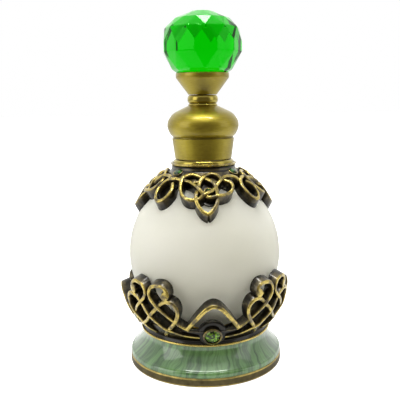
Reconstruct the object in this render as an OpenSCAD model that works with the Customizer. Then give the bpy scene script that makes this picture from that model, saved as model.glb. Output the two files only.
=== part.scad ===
// Perfume bottle: frosted globe in cast openwork, enamelled foot, screw cap with a glass dabber.
// Millimetres, +Z up, origin at the centre of the underside, front towards -Y.

/* [Foot] */
// Radius of the brass rim that the bottle stands on
foot_r = 25; // [24.6:0.1:25.4]
// Height of the brass rim
rim_h = 2.9; // [2.6:0.1:3.1]
// Radius at the narrow waist of the enamel
waist_r = 20.5; // [20.3:0.1:20.8]
// Thickness of the enamel
enamel_t = 0.9; // [0.6:0.1:1.2]
// Thickness of the pad under the foot
pad_t = 1.0; // [0.6:0.1:1.4]

/* [Globe] */
// Outer radius of the glass globe
globe_r = 24.5; // [24:0.1:24.6]
// Thickness of the glass
glass_t = 4; // [3:0.1:4.5]
// Outer radius of the neck, below its thread
neck_r = 5.7; // [5.5:0.05:5.75]
// Radius of the bore through the neck
bore_r = 3.3; // [3.25:0.05:3.6]

/* [Thread] */
// Rise of the thread in one turn
pitch = 2.1; // [2:0.05:2.2]
// Turns that the cap takes to come free
free_turns = 1.5; // [1.3:0.05:1.5]
// How far the neck's thread stands out
thread_h = 0.8; // [0.6:0.05:0.8]

/* [Openwork] */
// Width of a strand at its face
strand_w = 1.15; // [0.9:0.05:1.3]
// Depth of a basket strand, face to back
basket_deep = 2.8; // [2.2:0.1:2.9]
// Diameter of a stone under an arch
arch_stone_d = 4.7; // [4:0.1:4.9]
// Diameter of a stone in a knot
knot_stone_d = 2.4; // [2:0.1:2.8]
// Diameter of a stone above a leaf
leaf_stone_d = 2.9; // [2.4:0.1:3]

/* [Cap] */
// Greatest radius of the cap's dome
dome_r = 11.35; // [11:0.05:11.6]
// Radius of the skirt at its lower edge
skirt_r = 9.05; // [8.95:0.05:9.3]
// Radius of the finial cup's rim
cup_r = 8.35; // [8.2:0.05:8.6]

/* [Knob] */
// Greatest radius of the faceted knob
knob_r = 12.5; // [12:0.1:13]
// Number of tall facets round the knob
knob_facets = 12; // [10:1:12]

/* [Dabber] */
// Radius of the glass rod
rod_r = 1.5; // [1.2:0.1:1.6]
// Height of the rod's tip above the ground
rod_tip_z = 24; // [22:0.5:30]

/* [Hidden] */

round_fn = 96;
coarse_fn = 48;
disc_fn = 20;
seat_fn = 16;
repeats = 4;
turn = 360 / repeats;
radian = 180 / PI;
fit_gap = 0.05;

// Heights, from the ground up
foot_top = 11.2;
pad_z = 0.3;
glass_base = 12.7;
globe_z = 36;
globe_up = 26;
globe_down = 25;
ring_seat = 64.9;
collar_top = 65.4;
ring_top = 66.3;
skirt_z = 66.5;
insert_z = 67.4;
thread_z = 70.4;
skirt_top = 73;
neck_top = 78;
wad_t = 1;
roof_z = neck_top + wad_t;
insert_top = 80;
boss_top = 81.1;
plate_z = 82;
dome_top = 83.2;
cup_z = 86.6;
stud_top = 89.4;
cup_floor = 91.2;
cup_top = 93.4;
knob_low = 91.5;
knob_top = 112;

// Widths
pad_r = 22.4;
insert_r = 8.15;
insert_bore = neck_r + thread_h + 0.15;
wad_r = 5.8;
stub_r = 2.4;
stub_head_r = 2.75;
stub_gap = 0.1;
flange_r = 3.15;
boss_r = 4;
stud_r = 1.2;
stud_head_r = 2.2;
finial_r = 4.55;
bead_r = 4.85;
ring_r = 9.67;
collar_r = 10.47;
hub_r = 9;
stone_back = 0.6;

rod_top = roof_z - 0.5;
rise = pitch * free_turns;
flange_top = neck_top - rise - fit_gap;

// ---------- lines and outlines ----------

// Points on an ellipse round the height cz, between two angles
function ellipse_arc(rx, rz, cz, from, to, steps) =
    [for (i = [0:steps]) let (a = from + (to - from) * i / steps) [rx * cos(a), cz + rz * sin(a)]];

// Point on a smooth curve between b and c, with a and d as their outer neighbours
function curve_point(a, b, c, d, t) =
    0.5 * (2 * b + (c - a) * t + (2 * a - 5 * b + 4 * c - d) * t * t + (3 * b - a - 3 * c + d) * t * t * t);

// Smooth line through the given points
function smooth(pts, steps) =
    let (n = len(pts))
    [for (i = [0:n - 2], s = [0:steps - 1])
        curve_point(pts[max(i - 1, 0)], pts[i], pts[i + 1], pts[min(i + 2, n - 1)], s / steps),
     pts[n - 1]];

// The same line on the other side of x = 0
function mirrored(line) = [for (p = line) [-p[0], p[1], p[2]]];

// Sideways direction of a line at point i
function side_of(line, i) =
    let (before = line[max(i - 1, 0)], after = line[min(i + 1, len(line) - 1)],
         run = [after[0] - before[0], after[1] - before[1]])
    [-run[1], run[0], 0] / norm(run);

module revolve(outline, fn = round_fn) {
    rotate_extrude($fn = fn)
        polygon(outline);
}

// Wall that follows a line drawn on a curved surface, from point first to point last. Each point is
// [along x, along y, how far the face is raised], and at(point, depth) places it: 0 at the face, 1 at the back.
module strand(line, at, first, last) {
    n = last - first;
    points = [for (i = [first:last]) let (p = line[i], s = side_of(line, i) * strand_w / 2)
        each [at(p + s, 0), at(p - s, 0), at(p - s, 1), at(p + s, 1)]];
    walls = [for (i = [0:n - 1], k = [0:3])
        let (m = (k + 1) % 4)
        [i * 4 + k, i * 4 + 4 + k, i * 4 + 4 + m, i * 4 + m]];
    ends = [[0, 1, 2, 3], [n * 4 + 3, n * 4 + 2, n * 4 + 1, n * 4]];
    polyhedron(points, concat(walls, ends), convexity = 8);
}

// Puts children on the surface, their +Z leaning from the vertical towards the outside
module face_out(azimuth, r, z, lean) {
    rotate([0, 0, azimuth])
        translate([0, -r, z])
            rotate([lean, 0, 0])
                children();
}

// ---------- foot ----------

// Outer line of the enamel, from the rim up to the waist
enamel_line = smooth([[foot_r - 0.12, rim_h], [foot_r - 0.25, 3.9], [24.3, 5], [23.4, 6.1], [22.2, 7.2],
    [21.1, 8.4], [waist_r, 9.7], [waist_r + 0.15, foot_top]], 2);
enamel_back = [for (p = enamel_line) [p[0] - enamel_t, p[1]]];

module foot() {
    edge = 0.3;
    color("#82734a")
        revolve(concat(
            [[0, pad_z + pad_t], [pad_r, pad_z + pad_t], [pad_r, 0], [foot_r - edge, 0], [foot_r, edge],
             [foot_r, rim_h - edge], [foot_r - edge, rim_h]],
            enamel_back,
            [[hub_r, foot_top], [hub_r, glass_base], [0, glass_base]]));
}

module enamel_ring() {
    color("#82b491")
        revolve(concat(enamel_line, [for (i = [len(enamel_back) - 1:-1:0]) enamel_back[i]]));
}

module base_pad() {
    color("#2f3a30")
        translate([0, 0, pad_z])
            cylinder(h = pad_t, r = pad_r - fit_gap, $fn = round_fn);
}

// ---------- glass ----------

// Helical ridge that fades out at both ends. It points outwards where crest is larger than root.
module thread(root, crest, root_w, crest_w, z, turns) {
    steps_turn = 24;
    fade_steps = 5;
    n = round(turns * steps_turn);
    outward = crest > root;
    points = [for (i = [0:n])
        let (a = i * 360 / steps_turn,
             h = z + pitch * i / steps_turn,
             fade = max(0.2, min(1, i / fade_steps, (n - i) / fade_steps)),
             c = root + (crest - root) * fade)
        each [for (q = [[root, root_w], [c, crest_w], [c, -crest_w], [root, -root_w]])
            [q[0] * cos(a), q[0] * sin(a), h + q[1] / 2]]];
    walls = [for (i = [0:n - 1], k = [0:3])
        let (m = (k + 1) % 4)
        [i * 4 + k, (i + 1) * 4 + k, (i + 1) * 4 + m, i * 4 + m]];
    all = concat(walls, [[0, 1, 2, 3], [n * 4 + 3, n * 4 + 2, n * 4 + 1, n * 4]]);
    polyhedron(points, outward ? all : [for (f = all) [f[3], f[2], f[1], f[0]]], convexity = 8);
}

module glass_bottle() {
    lip = 0.5;
    inner_r = globe_r - glass_t;
    buried = 0.3;
    low = asin((globe_z - glass_base) / globe_down);
    steps = 16;
    step = 90 / steps;
    root_w = 1.3;
    crest_w = 0.6;
    turns = 2.4;
    color("#dcdcd2") {
        revolve(concat(
            [[0, glass_base]],
            ellipse_arc(globe_r, globe_down, globe_z, -low, 0, steps),
            ellipse_arc(globe_r, globe_up, globe_z, step, acos(neck_r / globe_r), steps),
            [[neck_r, neck_top - lip], [neck_r - lip, neck_top], [bore_r, neck_top]],
            ellipse_arc(inner_r, globe_up - glass_t, globe_z, acos(bore_r / inner_r), 0, steps),
            ellipse_arc(inner_r, globe_down - glass_t, globe_z, -step, -90, steps)));
        thread(neck_r - buried, neck_r + thread_h, root_w, crest_w, thread_z, turns);
    }
}

// ---------- lower basket ----------

// Face radius of the basket at each height
basket_face = [[foot_top, 20.8], [13.3, 21.6], [16.2, 24.2], [18, 25], [20.3, 26], [23, 26.8], [25.9, 27.4],
    [32, 27.6]];
basket_ref = 26;
back_lift = 0.35;
arch_stone_z = 15.2;
arch_stone_r = 22.7;
arch_stone_lean = 98;

// Point of the basket: p is [distance round, height, raise]
function basket_at(p, depth) =
    let (a = p[0] / basket_ref * radian,
         d = depth * basket_deep - p[2] * (1 - depth / 2),
         r = lookup(p[1], basket_face) - d)
    [r * sin(a), -r * cos(a), p[1] + depth * basket_deep * back_lift];

// Turns the first coordinate from degrees into a distance round
function round_basket(line) = [for (p = line) [p[0] / radian * basket_ref, p[1], p[2]]];

// Crook and stem of a scroll, as [degrees from the pair's centre line, height, raise]
scroll_line = round_basket([[11.2, 28.2, 0], [13.8, 28.3, 0], [14.9, 29.8, 0], [12.6, 31, 0], [8.5, 31.2, 0],
    [4, 30.6, 0], [1.7, 28.8, 0], [2.6, 26.9, 0], [6, 25.2, 0.1], [10, 23.6, 0.2], [14, 22, 0],
    [18, 20.4, -0.2], [23, 18.7, -0.1], [28, 17.6, 0]]);
// Strand that rises from the band, loops over and sweeps down past the pair's centre line
sweep_line = round_basket([[5, 13.8, -0.3], [9, 15.2, 0], [12.5, 16.9, -0.1], [16.5, 18.6, 0.1], [20, 20.6, 0.3],
    [21.9, 22.9, 0.2], [21.6, 24.9, 0.1], [19.2, 26.3, 0.1], [15, 26.7, 0], [11, 25.9, -0.3], [7, 24.2, -0.4],
    [3, 22.4, 0.1], [0, 20.9, 0.3], [-5, 18.8, 0.2], [-10, 17.3, 0.3], [-16, 16.1, -0.2], [-24, 15.1, -0.1],
    [-35, 14.4, -0.3]]);
// Half of an arch, as [degrees from the arch's centre, height, raise]
arch_half = round_basket([[0, 26, 0.2], [2.6, 25.7, 0.2], [5.4, 24.8, 0.2], [10, 22.4, 0.2], [14.5, 19.9, 0.2],
    [18, 17.9, 0.1]]);

module basket_strand(line) {
    strand(line, function(p, depth) basket_at(p, depth), 0, len(line) - 1);
}

module scroll_half() {
    bulb_r = 0.95;
    bulb_front = 0.15;
    bulb_back = 0.8;
    basket_strand(scroll_line);
    basket_strand(sweep_line);
    hull()
        for (depth = [bulb_front, bulb_back])
            translate(basket_at(scroll_line[0], depth))
                sphere(r = bulb_r, $fn = 8);
}

module basket_arch() {
    left = [for (i = [len(arch_half) - 1:-1:1]) arch_half[i]];
    basket_strand(concat(mirrored(left), arch_half));
}

// Puts children in the middle of a stone under an arch, at its widest edge
module on_arch(azimuth) {
    face_out(azimuth, arch_stone_r, arch_stone_z, arch_stone_lean)
        children();
}

// Half-round plate behind a stone
module arch_hump() {
    hump_r = 4.6;
    thick = 1.6;
    rise = 0.9;
    lean = 94;
    face_out(0, arch_stone_r - 2.4, arch_stone_z + rise, lean)
        cylinder(h = thick, r = hump_r, $fn = disc_fn);
}

module arch_bezel() {
    wall = 0.6;
    deep = 1.3;
    lip = 0.7;
    on_arch(0)
        translate([0, 0, -deep])
            cylinder(h = deep + lip, r = arch_stone_d / 2 + wall, $fn = disc_fn);
}

module lower_basket() {
    wall = 2;
    edge_r = 21;
    pocket_h = 3;
    bowl = [[20.8, foot_top + 0.5], [20.2, 12.6], [edge_r, 14], [22.4, 15.8], [23.2, 18.8]];
    color("#5a4d2b")
        difference() {
            union() {
                revolve(concat([[waist_r - wall, foot_top], [edge_r, foot_top]], bowl,
                    [for (i = [len(bowl) - 1:-1:1]) [bowl[i][0] - wall, bowl[i][1]]]), coarse_fn);
                for (i = [0:repeats - 1])
                    rotate([0, 0, i * turn]) {
                        basket_arch();
                        arch_hump();
                        arch_bezel();
                        rotate([0, 0, turn / 2]) {
                            scroll_half();
                            mirror([1, 0, 0])
                                scroll_half();
                        }
                    }
            }
            for (i = [0:repeats - 1])
                on_arch(i * turn)
                    translate([0, 0, -stone_back - fit_gap])
                        cylinder(h = pocket_h, r = arch_stone_d / 2 + 2 * fit_gap, $fn = disc_fn);
        }
}

// ---------- shoulder collar ----------

// The face is an arc that runs down the shoulder from the top edge, and the walls run back at one slant
slope_r = 31.5;
slope_centre = [-5.2, 36.9];
slope_start = 32;
slope_len = 16.5;
wall_slant = 30;
deep_top = 3.3;
deep_end = 2.65;
knot_stone_w = 7.3;
knot_stone_sink = 1.7;
leaf_stone_w = -0.3;
leaf_stone_sink = 0.9;
// Turn from the front or back knot to the leaf beside it, and to that leaf's stone
leaf_turn = 48.5;
leaf_stone_turn = 52;

// The same turn to the right and left of the front knot, then of the back knot
function spread(azimuth, i) = [azimuth, 180 - azimuth, 180 + azimuth, -azimuth][i];

// Angle from the vertical at a distance down the slope
function slope_angle(w) = slope_start + w / slope_r * radian;
// Radius and height there, sunk below the face
function slope_at(w, sink) = slope_centre + (slope_r - sink) * [sin(slope_angle(w)), cos(slope_angle(w))];
// Point of the collar: p is [distance round, distance up the slope, raise]
function collar_at(p, depth) =
    let (w = -p[1],
         face = slope_at(w, 0),
         deep = depth * (deep_top + (deep_end - deep_top) * w / slope_len),
         q = slope_at(w, -p[2] * (1 - depth / 2)) - deep * [sin(wall_slant), cos(wall_slant)],
         a = p[0] / face[0] * radian)
    [q[0] * sin(a), -q[0] * cos(a), q[1]];

// Turns a distance down the slope into a distance up it
function down_slope(line) = [for (p = line) [p[0], -p[1], p[2]]];

// The knot's two strands, as [distance right, distance down the slope, raise]. Each starts as the wire from
// a leaf, and the two meet in the knot's lower tip.
knot_right_line = down_slope([[-10.6, 3.3, 0], [-8.5, 3.5, -0.3], [-6.4, 4, -0.2], [-4.6, 5.3, 0.1],
    [-3.1, 7.3, 0.3], [-1.4, 9.3, -0.4], [0.6, 10.1, 0], [2.3, 9.9, 0.3], [4.4, 9.6, 0.1], [6.2, 9, 0],
    [7.4, 7.8, 0], [7.7, 6.2, 0], [7.1, 4.8, -0.1], [5.9, 3.9, -0.4], [4.2, 2.8, -0.4], [2.9, 1.6, 0],
    [1.3, 0.9, 0], [-0.4, 1.5, 0.1], [-1.6, 2.8, 0.3], [-2.5, 4.3, 0.1], [-3, 5.8, -0.2], [-3.5, 7.4, -0.4],
    [-4, 9.2, 0.3], [-4.2, 11, 0.3], [-3.6, 13, 0.1], [-2.4, 14.7, 0], [-0.8, 15.7, 0]]);
knot_left_line = down_slope([[-0.8, 15.7, 0], [0.5, 14.6, 0], [1.5, 13.2, 0], [2.1, 11.8, 0], [2.4, 10, -0.4],
    [2.4, 8.2, -0.2], [1.9, 6.2, 0.3], [1.2, 4.7, 0.2], [0, 3.4, 0], [-1.4, 2.5, -0.4], [-2.8, 1.7, -0.2],
    [-4.6, 1.2, 0], [-6.4, 1.8, 0], [-7.8, 3.1, 0.3], [-8.6, 5, 0.1], [-8.9, 7, 0], [-8.6, 9, 0],
    [-7.4, 10.5, 0], [-5.5, 11, -0.1], [-3.3, 10.4, -0.4], [-1.5, 9.2, 0.3], [0, 8.3, 0.1], [1.4, 7.3, -0.3],
    [2.4, 5.8, -0.2], [3.8, 4.1, 0.2], [5.1, 2.9, 0.3], [6.7, 2.5, 0.1], [8.3, 2.7, 0], [9.6, 3.4, 0],
    [10.8, 4.5, -0.1]]);
// Points at which the two strands are parted, so that neither crosses itself
knot_right_part = 16;
knot_left_part = 12;
// A leaf's strand, from the wire on its right round to its inner end
leaf_line = down_slope([[1.7, 3.4, 0.1], [0.3, 3.7, 0.1], [-1.1, 4.3, 0.1], [-2.3, 5.8, 0], [-2.9, 8, 0],
    [-2.4, 10.3, 0], [-1.2, 11.8, 0], [0.2, 12.2, 0], [1.6, 11.6, 0], [2.6, 10.1, 0], [2.9, 8.2, 0],
    [2.3, 6.5, -0.1], [1.2, 5.1, -0.4]]);

module collar_strand(line, first, last) {
    strand(line, function(p, depth) collar_at(p, depth), first, last);
}

// Puts children on the collar's slope, sunk below its face
module on_slope(azimuth, w, sink) {
    q = slope_at(w, sink);
    face_out(azimuth, q[0], q[1], slope_angle(w))
        children();
}

// Dark floor behind a knot or a leaf, between two distances down the slope
module slope_floor(from, to) {
    r = 2.4;
    thick = 0.7;
    sink = 2.1;
    hull()
        for (w = [from, to])
            on_slope(0, w, sink + thick)
                cylinder(h = thick, r = r, $fn = seat_fn);
}

module stone_seat(d) {
    deep = 1.2;
    lip = 0.1;
    foot_w = 0.7;
    lip_w = 0.35;
    translate([0, 0, -deep])
        cylinder(h = deep + lip, r1 = d / 2 + foot_w, r2 = d / 2 + lip_w, $fn = seat_fn);
}

// Room for a stone of the slope, from its back outwards
module stone_pocket(d) {
    pocket_h = 2.4;
    translate([0, 0, -stone_back - fit_gap])
        cylinder(h = pocket_h, r = d / 2 + fit_gap, $fn = seat_fn);
}

module knot() {
    collar_strand(knot_right_line, 0, knot_right_part);
    collar_strand(knot_right_line, knot_right_part, len(knot_right_line) - 1);
    collar_strand(knot_left_line, 0, knot_left_part);
    collar_strand(knot_left_line, knot_left_part, len(knot_left_line) - 1);
    slope_floor(5, 9.6);
    on_slope(0, knot_stone_w, knot_stone_sink)
        stone_seat(knot_stone_d);
}

module leaf() {
    collar_strand(leaf_line, 0, len(leaf_line) - 1);
    slope_floor(5.6, 9.2);
}

module shoulder_collar() {
    hole_r = neck_r + 0.4;
    seat_r = ring_r + 0.1;
    shoulder = [[collar_r, collar_top], [collar_r, 64.9], [10.1, 64.3], [10.3, 63.2], [11.6, 61.9], [13.3, 60.4]];
    inside = [[12.8, 58.6], [9.4, 60.4], [hole_r, 61.6]];
    color("#66562c")
        difference() {
            union() {
                revolve(concat([[hole_r, ring_seat], [seat_r, ring_seat], [seat_r, collar_top]], shoulder, inside),
                    coarse_fn);
                for (i = [0:repeats - 1]) {
                    rotate([0, 0, i * turn])
                        knot();
                    rotate([0, 0, spread(leaf_turn, i)])
                        leaf();
                    on_slope(spread(leaf_stone_turn, i), leaf_stone_w, leaf_stone_sink)
                        stone_seat(leaf_stone_d);
                }
            }
            for (i = [0:repeats - 1]) {
                on_slope(i * turn, knot_stone_w, knot_stone_sink)
                    stone_pocket(knot_stone_d);
                on_slope(spread(leaf_stone_turn, i), leaf_stone_w, leaf_stone_sink)
                    stone_pocket(leaf_stone_d);
            }
        }
}

module neck_ring() {
    color("#b8a050")
        revolve([[neck_r + fit_gap, ring_seat], [ring_r - 0.1, ring_seat], [ring_r, 65.2], [ring_r, 65.6],
            [ring_r - 0.15, 66], [ring_r - 0.5, ring_top], [neck_r + fit_gap, ring_top]]);
}

// ---------- stones ----------

// Round cut stone: flat back, crown and table; z = 0 at the widest edge
module stone(d, sides) {
    crown = 0.16;
    table_r = 0.32;
    hull() {
        translate([0, 0, -stone_back])
            cylinder(h = stone_back, r = d / 2, $fn = sides);
        rotate([0, 0, 180 / sides])
            cylinder(h = crown * d, r = table_r * d, $fn = sides);
    }
}

module arch_stone(i) {
    color("#6ea028")
        on_arch(i * turn)
            stone(arch_stone_d, 12);
}

module knot_stone(i) {
    color("#1d4a26")
        on_slope(i * turn, knot_stone_w, knot_stone_sink)
            stone(knot_stone_d, 8);
}

module leaf_stone(i) {
    color("#2f7a36")
        on_slope(spread(leaf_stone_turn, i), leaf_stone_w, leaf_stone_sink)
            stone(leaf_stone_d, 8);
}

// ---------- seal and dabber ----------

module seal_wad() {
    hole_r = stub_r + stub_gap;
    color("#e8e4d8")
        revolve([[hole_r, neck_top], [wad_r, neck_top], [wad_r, roof_z], [hole_r, roof_z]]);
}

module dabber_holder() {
    foot_z = flange_top - 4;
    foot_r = rod_r + 0.7;
    foot_slope = 0.6;
    flange_t = 1.2;
    flange_z = flange_top - flange_t;
    head_low = roof_z + 0.75;
    head_high = roof_z + 1.2;
    stub_top = roof_z + 1.55;
    color("#d8d4c8")
        revolve([[rod_r, foot_z], [foot_r, foot_z], [stub_r, foot_z + foot_slope], [stub_r, flange_z],
            [flange_r, flange_z], [flange_r, flange_top], [stub_r, flange_top],
            [stub_r, head_low - 0.15], [stub_head_r, head_low], [stub_head_r, head_high],
            [stub_r, head_high + 0.2], [stub_r - 0.3, stub_top], [0, stub_top], [0, rod_top], [rod_r, rod_top]]);
}

module dabber_rod() {
    tip_r = 2.1;
    blend = 2.2;
    color("#e6ebe8")
        revolve(concat(
            [[0, rod_top], [0, rod_tip_z]],
            ellipse_arc(tip_r, tip_r, rod_tip_z + tip_r, -80, 20, 12),
            [[rod_r, rod_tip_z + tip_r + blend], [rod_r, rod_top]]));
}

// ---------- cap ----------

module cap_shell() {
    shoulder_r = 9.9;
    groove_r = shoulder_r - 0.35;
    head_room = boss_r + 0.1;
    color("#a8994c")
        revolve([[insert_r, skirt_z], [skirt_r - 0.1, skirt_z], [skirt_r, skirt_z + 0.15],
            [shoulder_r, skirt_top], [groove_r, skirt_top + 0.15], [groove_r, skirt_top + 0.4],
            [10, 73.8], [10.5, 74.4], [dome_r - 0.35, 75.4], [dome_r - 0.05, 76.4], [dome_r, 77.3],
            [dome_r - 0.15, 78.3], [dome_r - 0.65, 79.3], [9.9, 80.3], [8.9, 81.1], [7.1, 82], [5.4, 82.8],
            [finial_r, dome_top], [stud_r, dome_top], [stud_r, plate_z], [head_room, plate_z],
            [head_room, boss_top + 0.1], [insert_r, insert_top]]);
}

module threaded_insert() {
    groove = stub_head_r + stub_gap;
    socket = stub_r + stub_gap;
    buried = 0.3;
    crest_r = neck_r + 0.25;
    root_w = 1.1;
    crest_w = 0.5;
    turns = 1.9;
    color("#efece2") {
        revolve([[insert_bore, insert_z], [insert_r, insert_z], [insert_r, insert_top], [boss_r, insert_top],
            [boss_r, boss_top], [0, boss_top], [0, roof_z + 1.7], [socket, roof_z + 1.7],
            [socket, roof_z + 1.5], [groove, roof_z + 1.3], [groove, roof_z + 0.65], [socket, roof_z + 0.5],
            [socket, roof_z], [insert_bore, roof_z]]);
        thread(insert_bore + buried, crest_r, root_w, crest_w, thread_z + pitch / 2, turns);
    }
}

module finial_bead() {
    groove_z = dome_top + 0.55;
    bulge = 0.9;
    half_h = 1.4;
    middle = (groove_z + cup_z) / 2;
    color("#8f7f3c")
        revolve(concat([[stud_r, dome_top], [finial_r, dome_top], [finial_r + 0.1, dome_top + 0.25],
            [finial_r - 0.1, groove_z]],
            [for (a = [-70:20:70]) [bead_r - bulge + bulge * cos(a), middle + half_h * sin(a)]],
            [[stud_r, cup_z]]));
}

module finial_stud() {
    head_z = boss_top + 0.1;
    color("#9a9a94")
        revolve([[0, head_z], [stud_head_r, head_z], [stud_head_r, plate_z], [stud_r, plate_z],
            [stud_r, stud_top], [0, stud_top]]);
}

module finial_cup() {
    seat_r = 6;
    mouth_r = 7.9;
    color("#a8994c")
        revolve([[0, stud_top], [stud_r, stud_top], [stud_r, cup_z], [finial_r, cup_z],
            [finial_r + 0.1, cup_z + 0.25], [cup_r - 0.15, 91.6], [cup_r, 91.9], [cup_r + 0.05, 92.6],
            [cup_r, 93.2], [cup_r - 0.2, cup_top], [mouth_r, cup_top], [seat_r, cup_floor], [0, cup_floor]]);
}

// ---------- knob ----------

// Rings of corners as [radius, height, half steps turned]; flat-sided rings lie on the tall facets
flat_r = knob_r * cos(180 / knob_facets);
knob_rings = [[5.6, knob_low, 1], [7.75, cup_top, 0], [10.3, 95.9, 1], [flat_r - 0.25, 98.4, 0], [knob_r, 100.6, 1],
    [knob_r, 103.7, 1], [flat_r - 0.25, 105.9, 0], [10.7, 108.3, 1], [8.4, 110.3, 0], [4.4, knob_top, 1]];

module crystal_knob() {
    thin = 0.01;
    color("#12b512")
        hull()
            for (ring = knob_rings)
                translate([0, 0, min(ring[1], knob_top - thin)])
                    rotate([0, 0, ring[2] * 180 / knob_facets])
                        cylinder(h = thin, r = ring[0], $fn = knob_facets);
}

foot();
enamel_ring();
base_pad();
glass_bottle();
lower_basket();
shoulder_collar();
neck_ring();
arch_stone(0);  // arch_stone_front
arch_stone(1);  // arch_stone_right
arch_stone(2);  // arch_stone_back
arch_stone(3);  // arch_stone_left
knot_stone(0);  // knot_stone_front
knot_stone(1);  // knot_stone_right
knot_stone(2);  // knot_stone_back
knot_stone(3);  // knot_stone_left
leaf_stone(0);  // leaf_stone_1
leaf_stone(1);  // leaf_stone_2
leaf_stone(2);  // leaf_stone_3
leaf_stone(3);  // leaf_stone_4
seal_wad();
dabber_holder();
dabber_rod();
cap_shell();
threaded_insert();
finial_bead();
finial_stud();
finial_cup();
crystal_knob();
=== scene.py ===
import bisect
import math

import bmesh
import bpy
from mathutils import Matrix, Vector


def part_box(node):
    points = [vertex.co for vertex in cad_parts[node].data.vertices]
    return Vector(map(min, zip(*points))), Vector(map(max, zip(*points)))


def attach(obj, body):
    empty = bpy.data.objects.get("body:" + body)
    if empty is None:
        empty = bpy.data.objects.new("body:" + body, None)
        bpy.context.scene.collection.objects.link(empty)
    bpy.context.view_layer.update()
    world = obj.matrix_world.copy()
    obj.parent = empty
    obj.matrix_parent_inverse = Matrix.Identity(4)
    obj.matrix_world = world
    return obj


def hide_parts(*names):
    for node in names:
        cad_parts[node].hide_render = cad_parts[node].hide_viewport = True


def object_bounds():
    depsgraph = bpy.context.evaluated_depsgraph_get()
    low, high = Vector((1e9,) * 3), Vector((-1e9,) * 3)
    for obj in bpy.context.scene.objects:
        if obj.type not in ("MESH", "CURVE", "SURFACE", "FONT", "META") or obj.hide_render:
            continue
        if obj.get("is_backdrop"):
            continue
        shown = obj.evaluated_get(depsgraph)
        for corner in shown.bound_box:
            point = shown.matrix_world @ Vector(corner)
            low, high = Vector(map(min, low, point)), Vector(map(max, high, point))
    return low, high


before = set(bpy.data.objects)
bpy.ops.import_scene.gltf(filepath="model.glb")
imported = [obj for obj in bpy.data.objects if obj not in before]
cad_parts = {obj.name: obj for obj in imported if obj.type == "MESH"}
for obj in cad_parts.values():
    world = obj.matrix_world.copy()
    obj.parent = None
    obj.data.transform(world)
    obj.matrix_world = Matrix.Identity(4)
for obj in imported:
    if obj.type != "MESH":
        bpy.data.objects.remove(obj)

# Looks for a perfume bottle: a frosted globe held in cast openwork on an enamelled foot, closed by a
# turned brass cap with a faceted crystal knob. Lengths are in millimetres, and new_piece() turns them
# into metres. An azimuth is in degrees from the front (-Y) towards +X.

cad_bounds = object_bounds()

# ---------- driving sizes ----------


def top_of(node):
    """Height of a node's highest point, in mm."""
    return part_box(node)[1].z * 1000


def foot_of(node):
    """Height of a node's lowest point, in mm."""
    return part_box(node)[0].z * 1000


def radius_of(node):
    """Greatest distance of a round node from the bottle's axis, in mm."""
    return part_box(node)[1].x * 1000


RIM_R = radius_of("foot")
FOOT_TOP = top_of("enamel_ring")
RIM_H = foot_of("enamel_ring")
GLASS_BASE = foot_of("glass_bottle")
NECK_TOP = top_of("glass_bottle")
GLOBE_R = radius_of("glass_bottle")
RING_SEAT = foot_of("neck_ring")
RING_TOP = top_of("neck_ring")
RING_R = radius_of("neck_ring")
COLLAR_TOP = top_of("shoulder_collar")
SKIRT_Z = foot_of("cap_shell")
DOME_TOP = top_of("cap_shell")
DOME_R = radius_of("cap_shell")
CUP_Z = foot_of("finial_cup")
CUP_TOP = top_of("finial_cup")
CUP_R = radius_of("finial_cup") - 0.05
KNOB_LOW = foot_of("crystal_knob")
KNOB_TOP = top_of("crystal_knob")

GLOBE_Z = 36
GLOBE_UP = 26
GLOBE_DOWN = 25
GLASS_T = 4
NECK_R = 5.7
BORE_R = 3.3
KNOB_R = 12.5
KNOB_FACETS = 12
WAIST_R = 20.5
FINIAL_R = 4.55
STUD_R = 1.2
PAD_R = 22.4
REPEATS = 4
TURN = 360 / REPEATS

# ---------- outlines and lines ----------


def curve_point(a, b, c, d, t):
    """Point on a smooth curve between b and c, whose outer neighbours are a and d."""
    return tuple(
        0.5 * (2 * q + (r - p) * t + (2 * p - 5 * q + 4 * r - s) * t ** 2 + (3 * q - p - 3 * r + s) * t ** 3)
        for p, q, r, s in zip(a, b, c, d)
    )


def smooth_line(points, steps):
    """Smooth open line through the given points."""
    last = len(points) - 1
    line = []
    for i in range(last):
        around = [points[min(max(i + k, 0), last)] for k in (-1, 0, 1, 2)]
        line += [curve_point(*around, step / steps) for step in range(steps)]
    return line + [tuple(points[-1])]


def ellipse_arc(rx, rz, centre, start, end, steps):
    """Points (r, z) on an ellipse round the height centre, between two angles in degrees."""
    angles = [math.radians(start + (end - start) * i / steps) for i in range(steps + 1)]
    return [(rx * math.cos(a), centre + rz * math.sin(a)) for a in angles]


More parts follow.
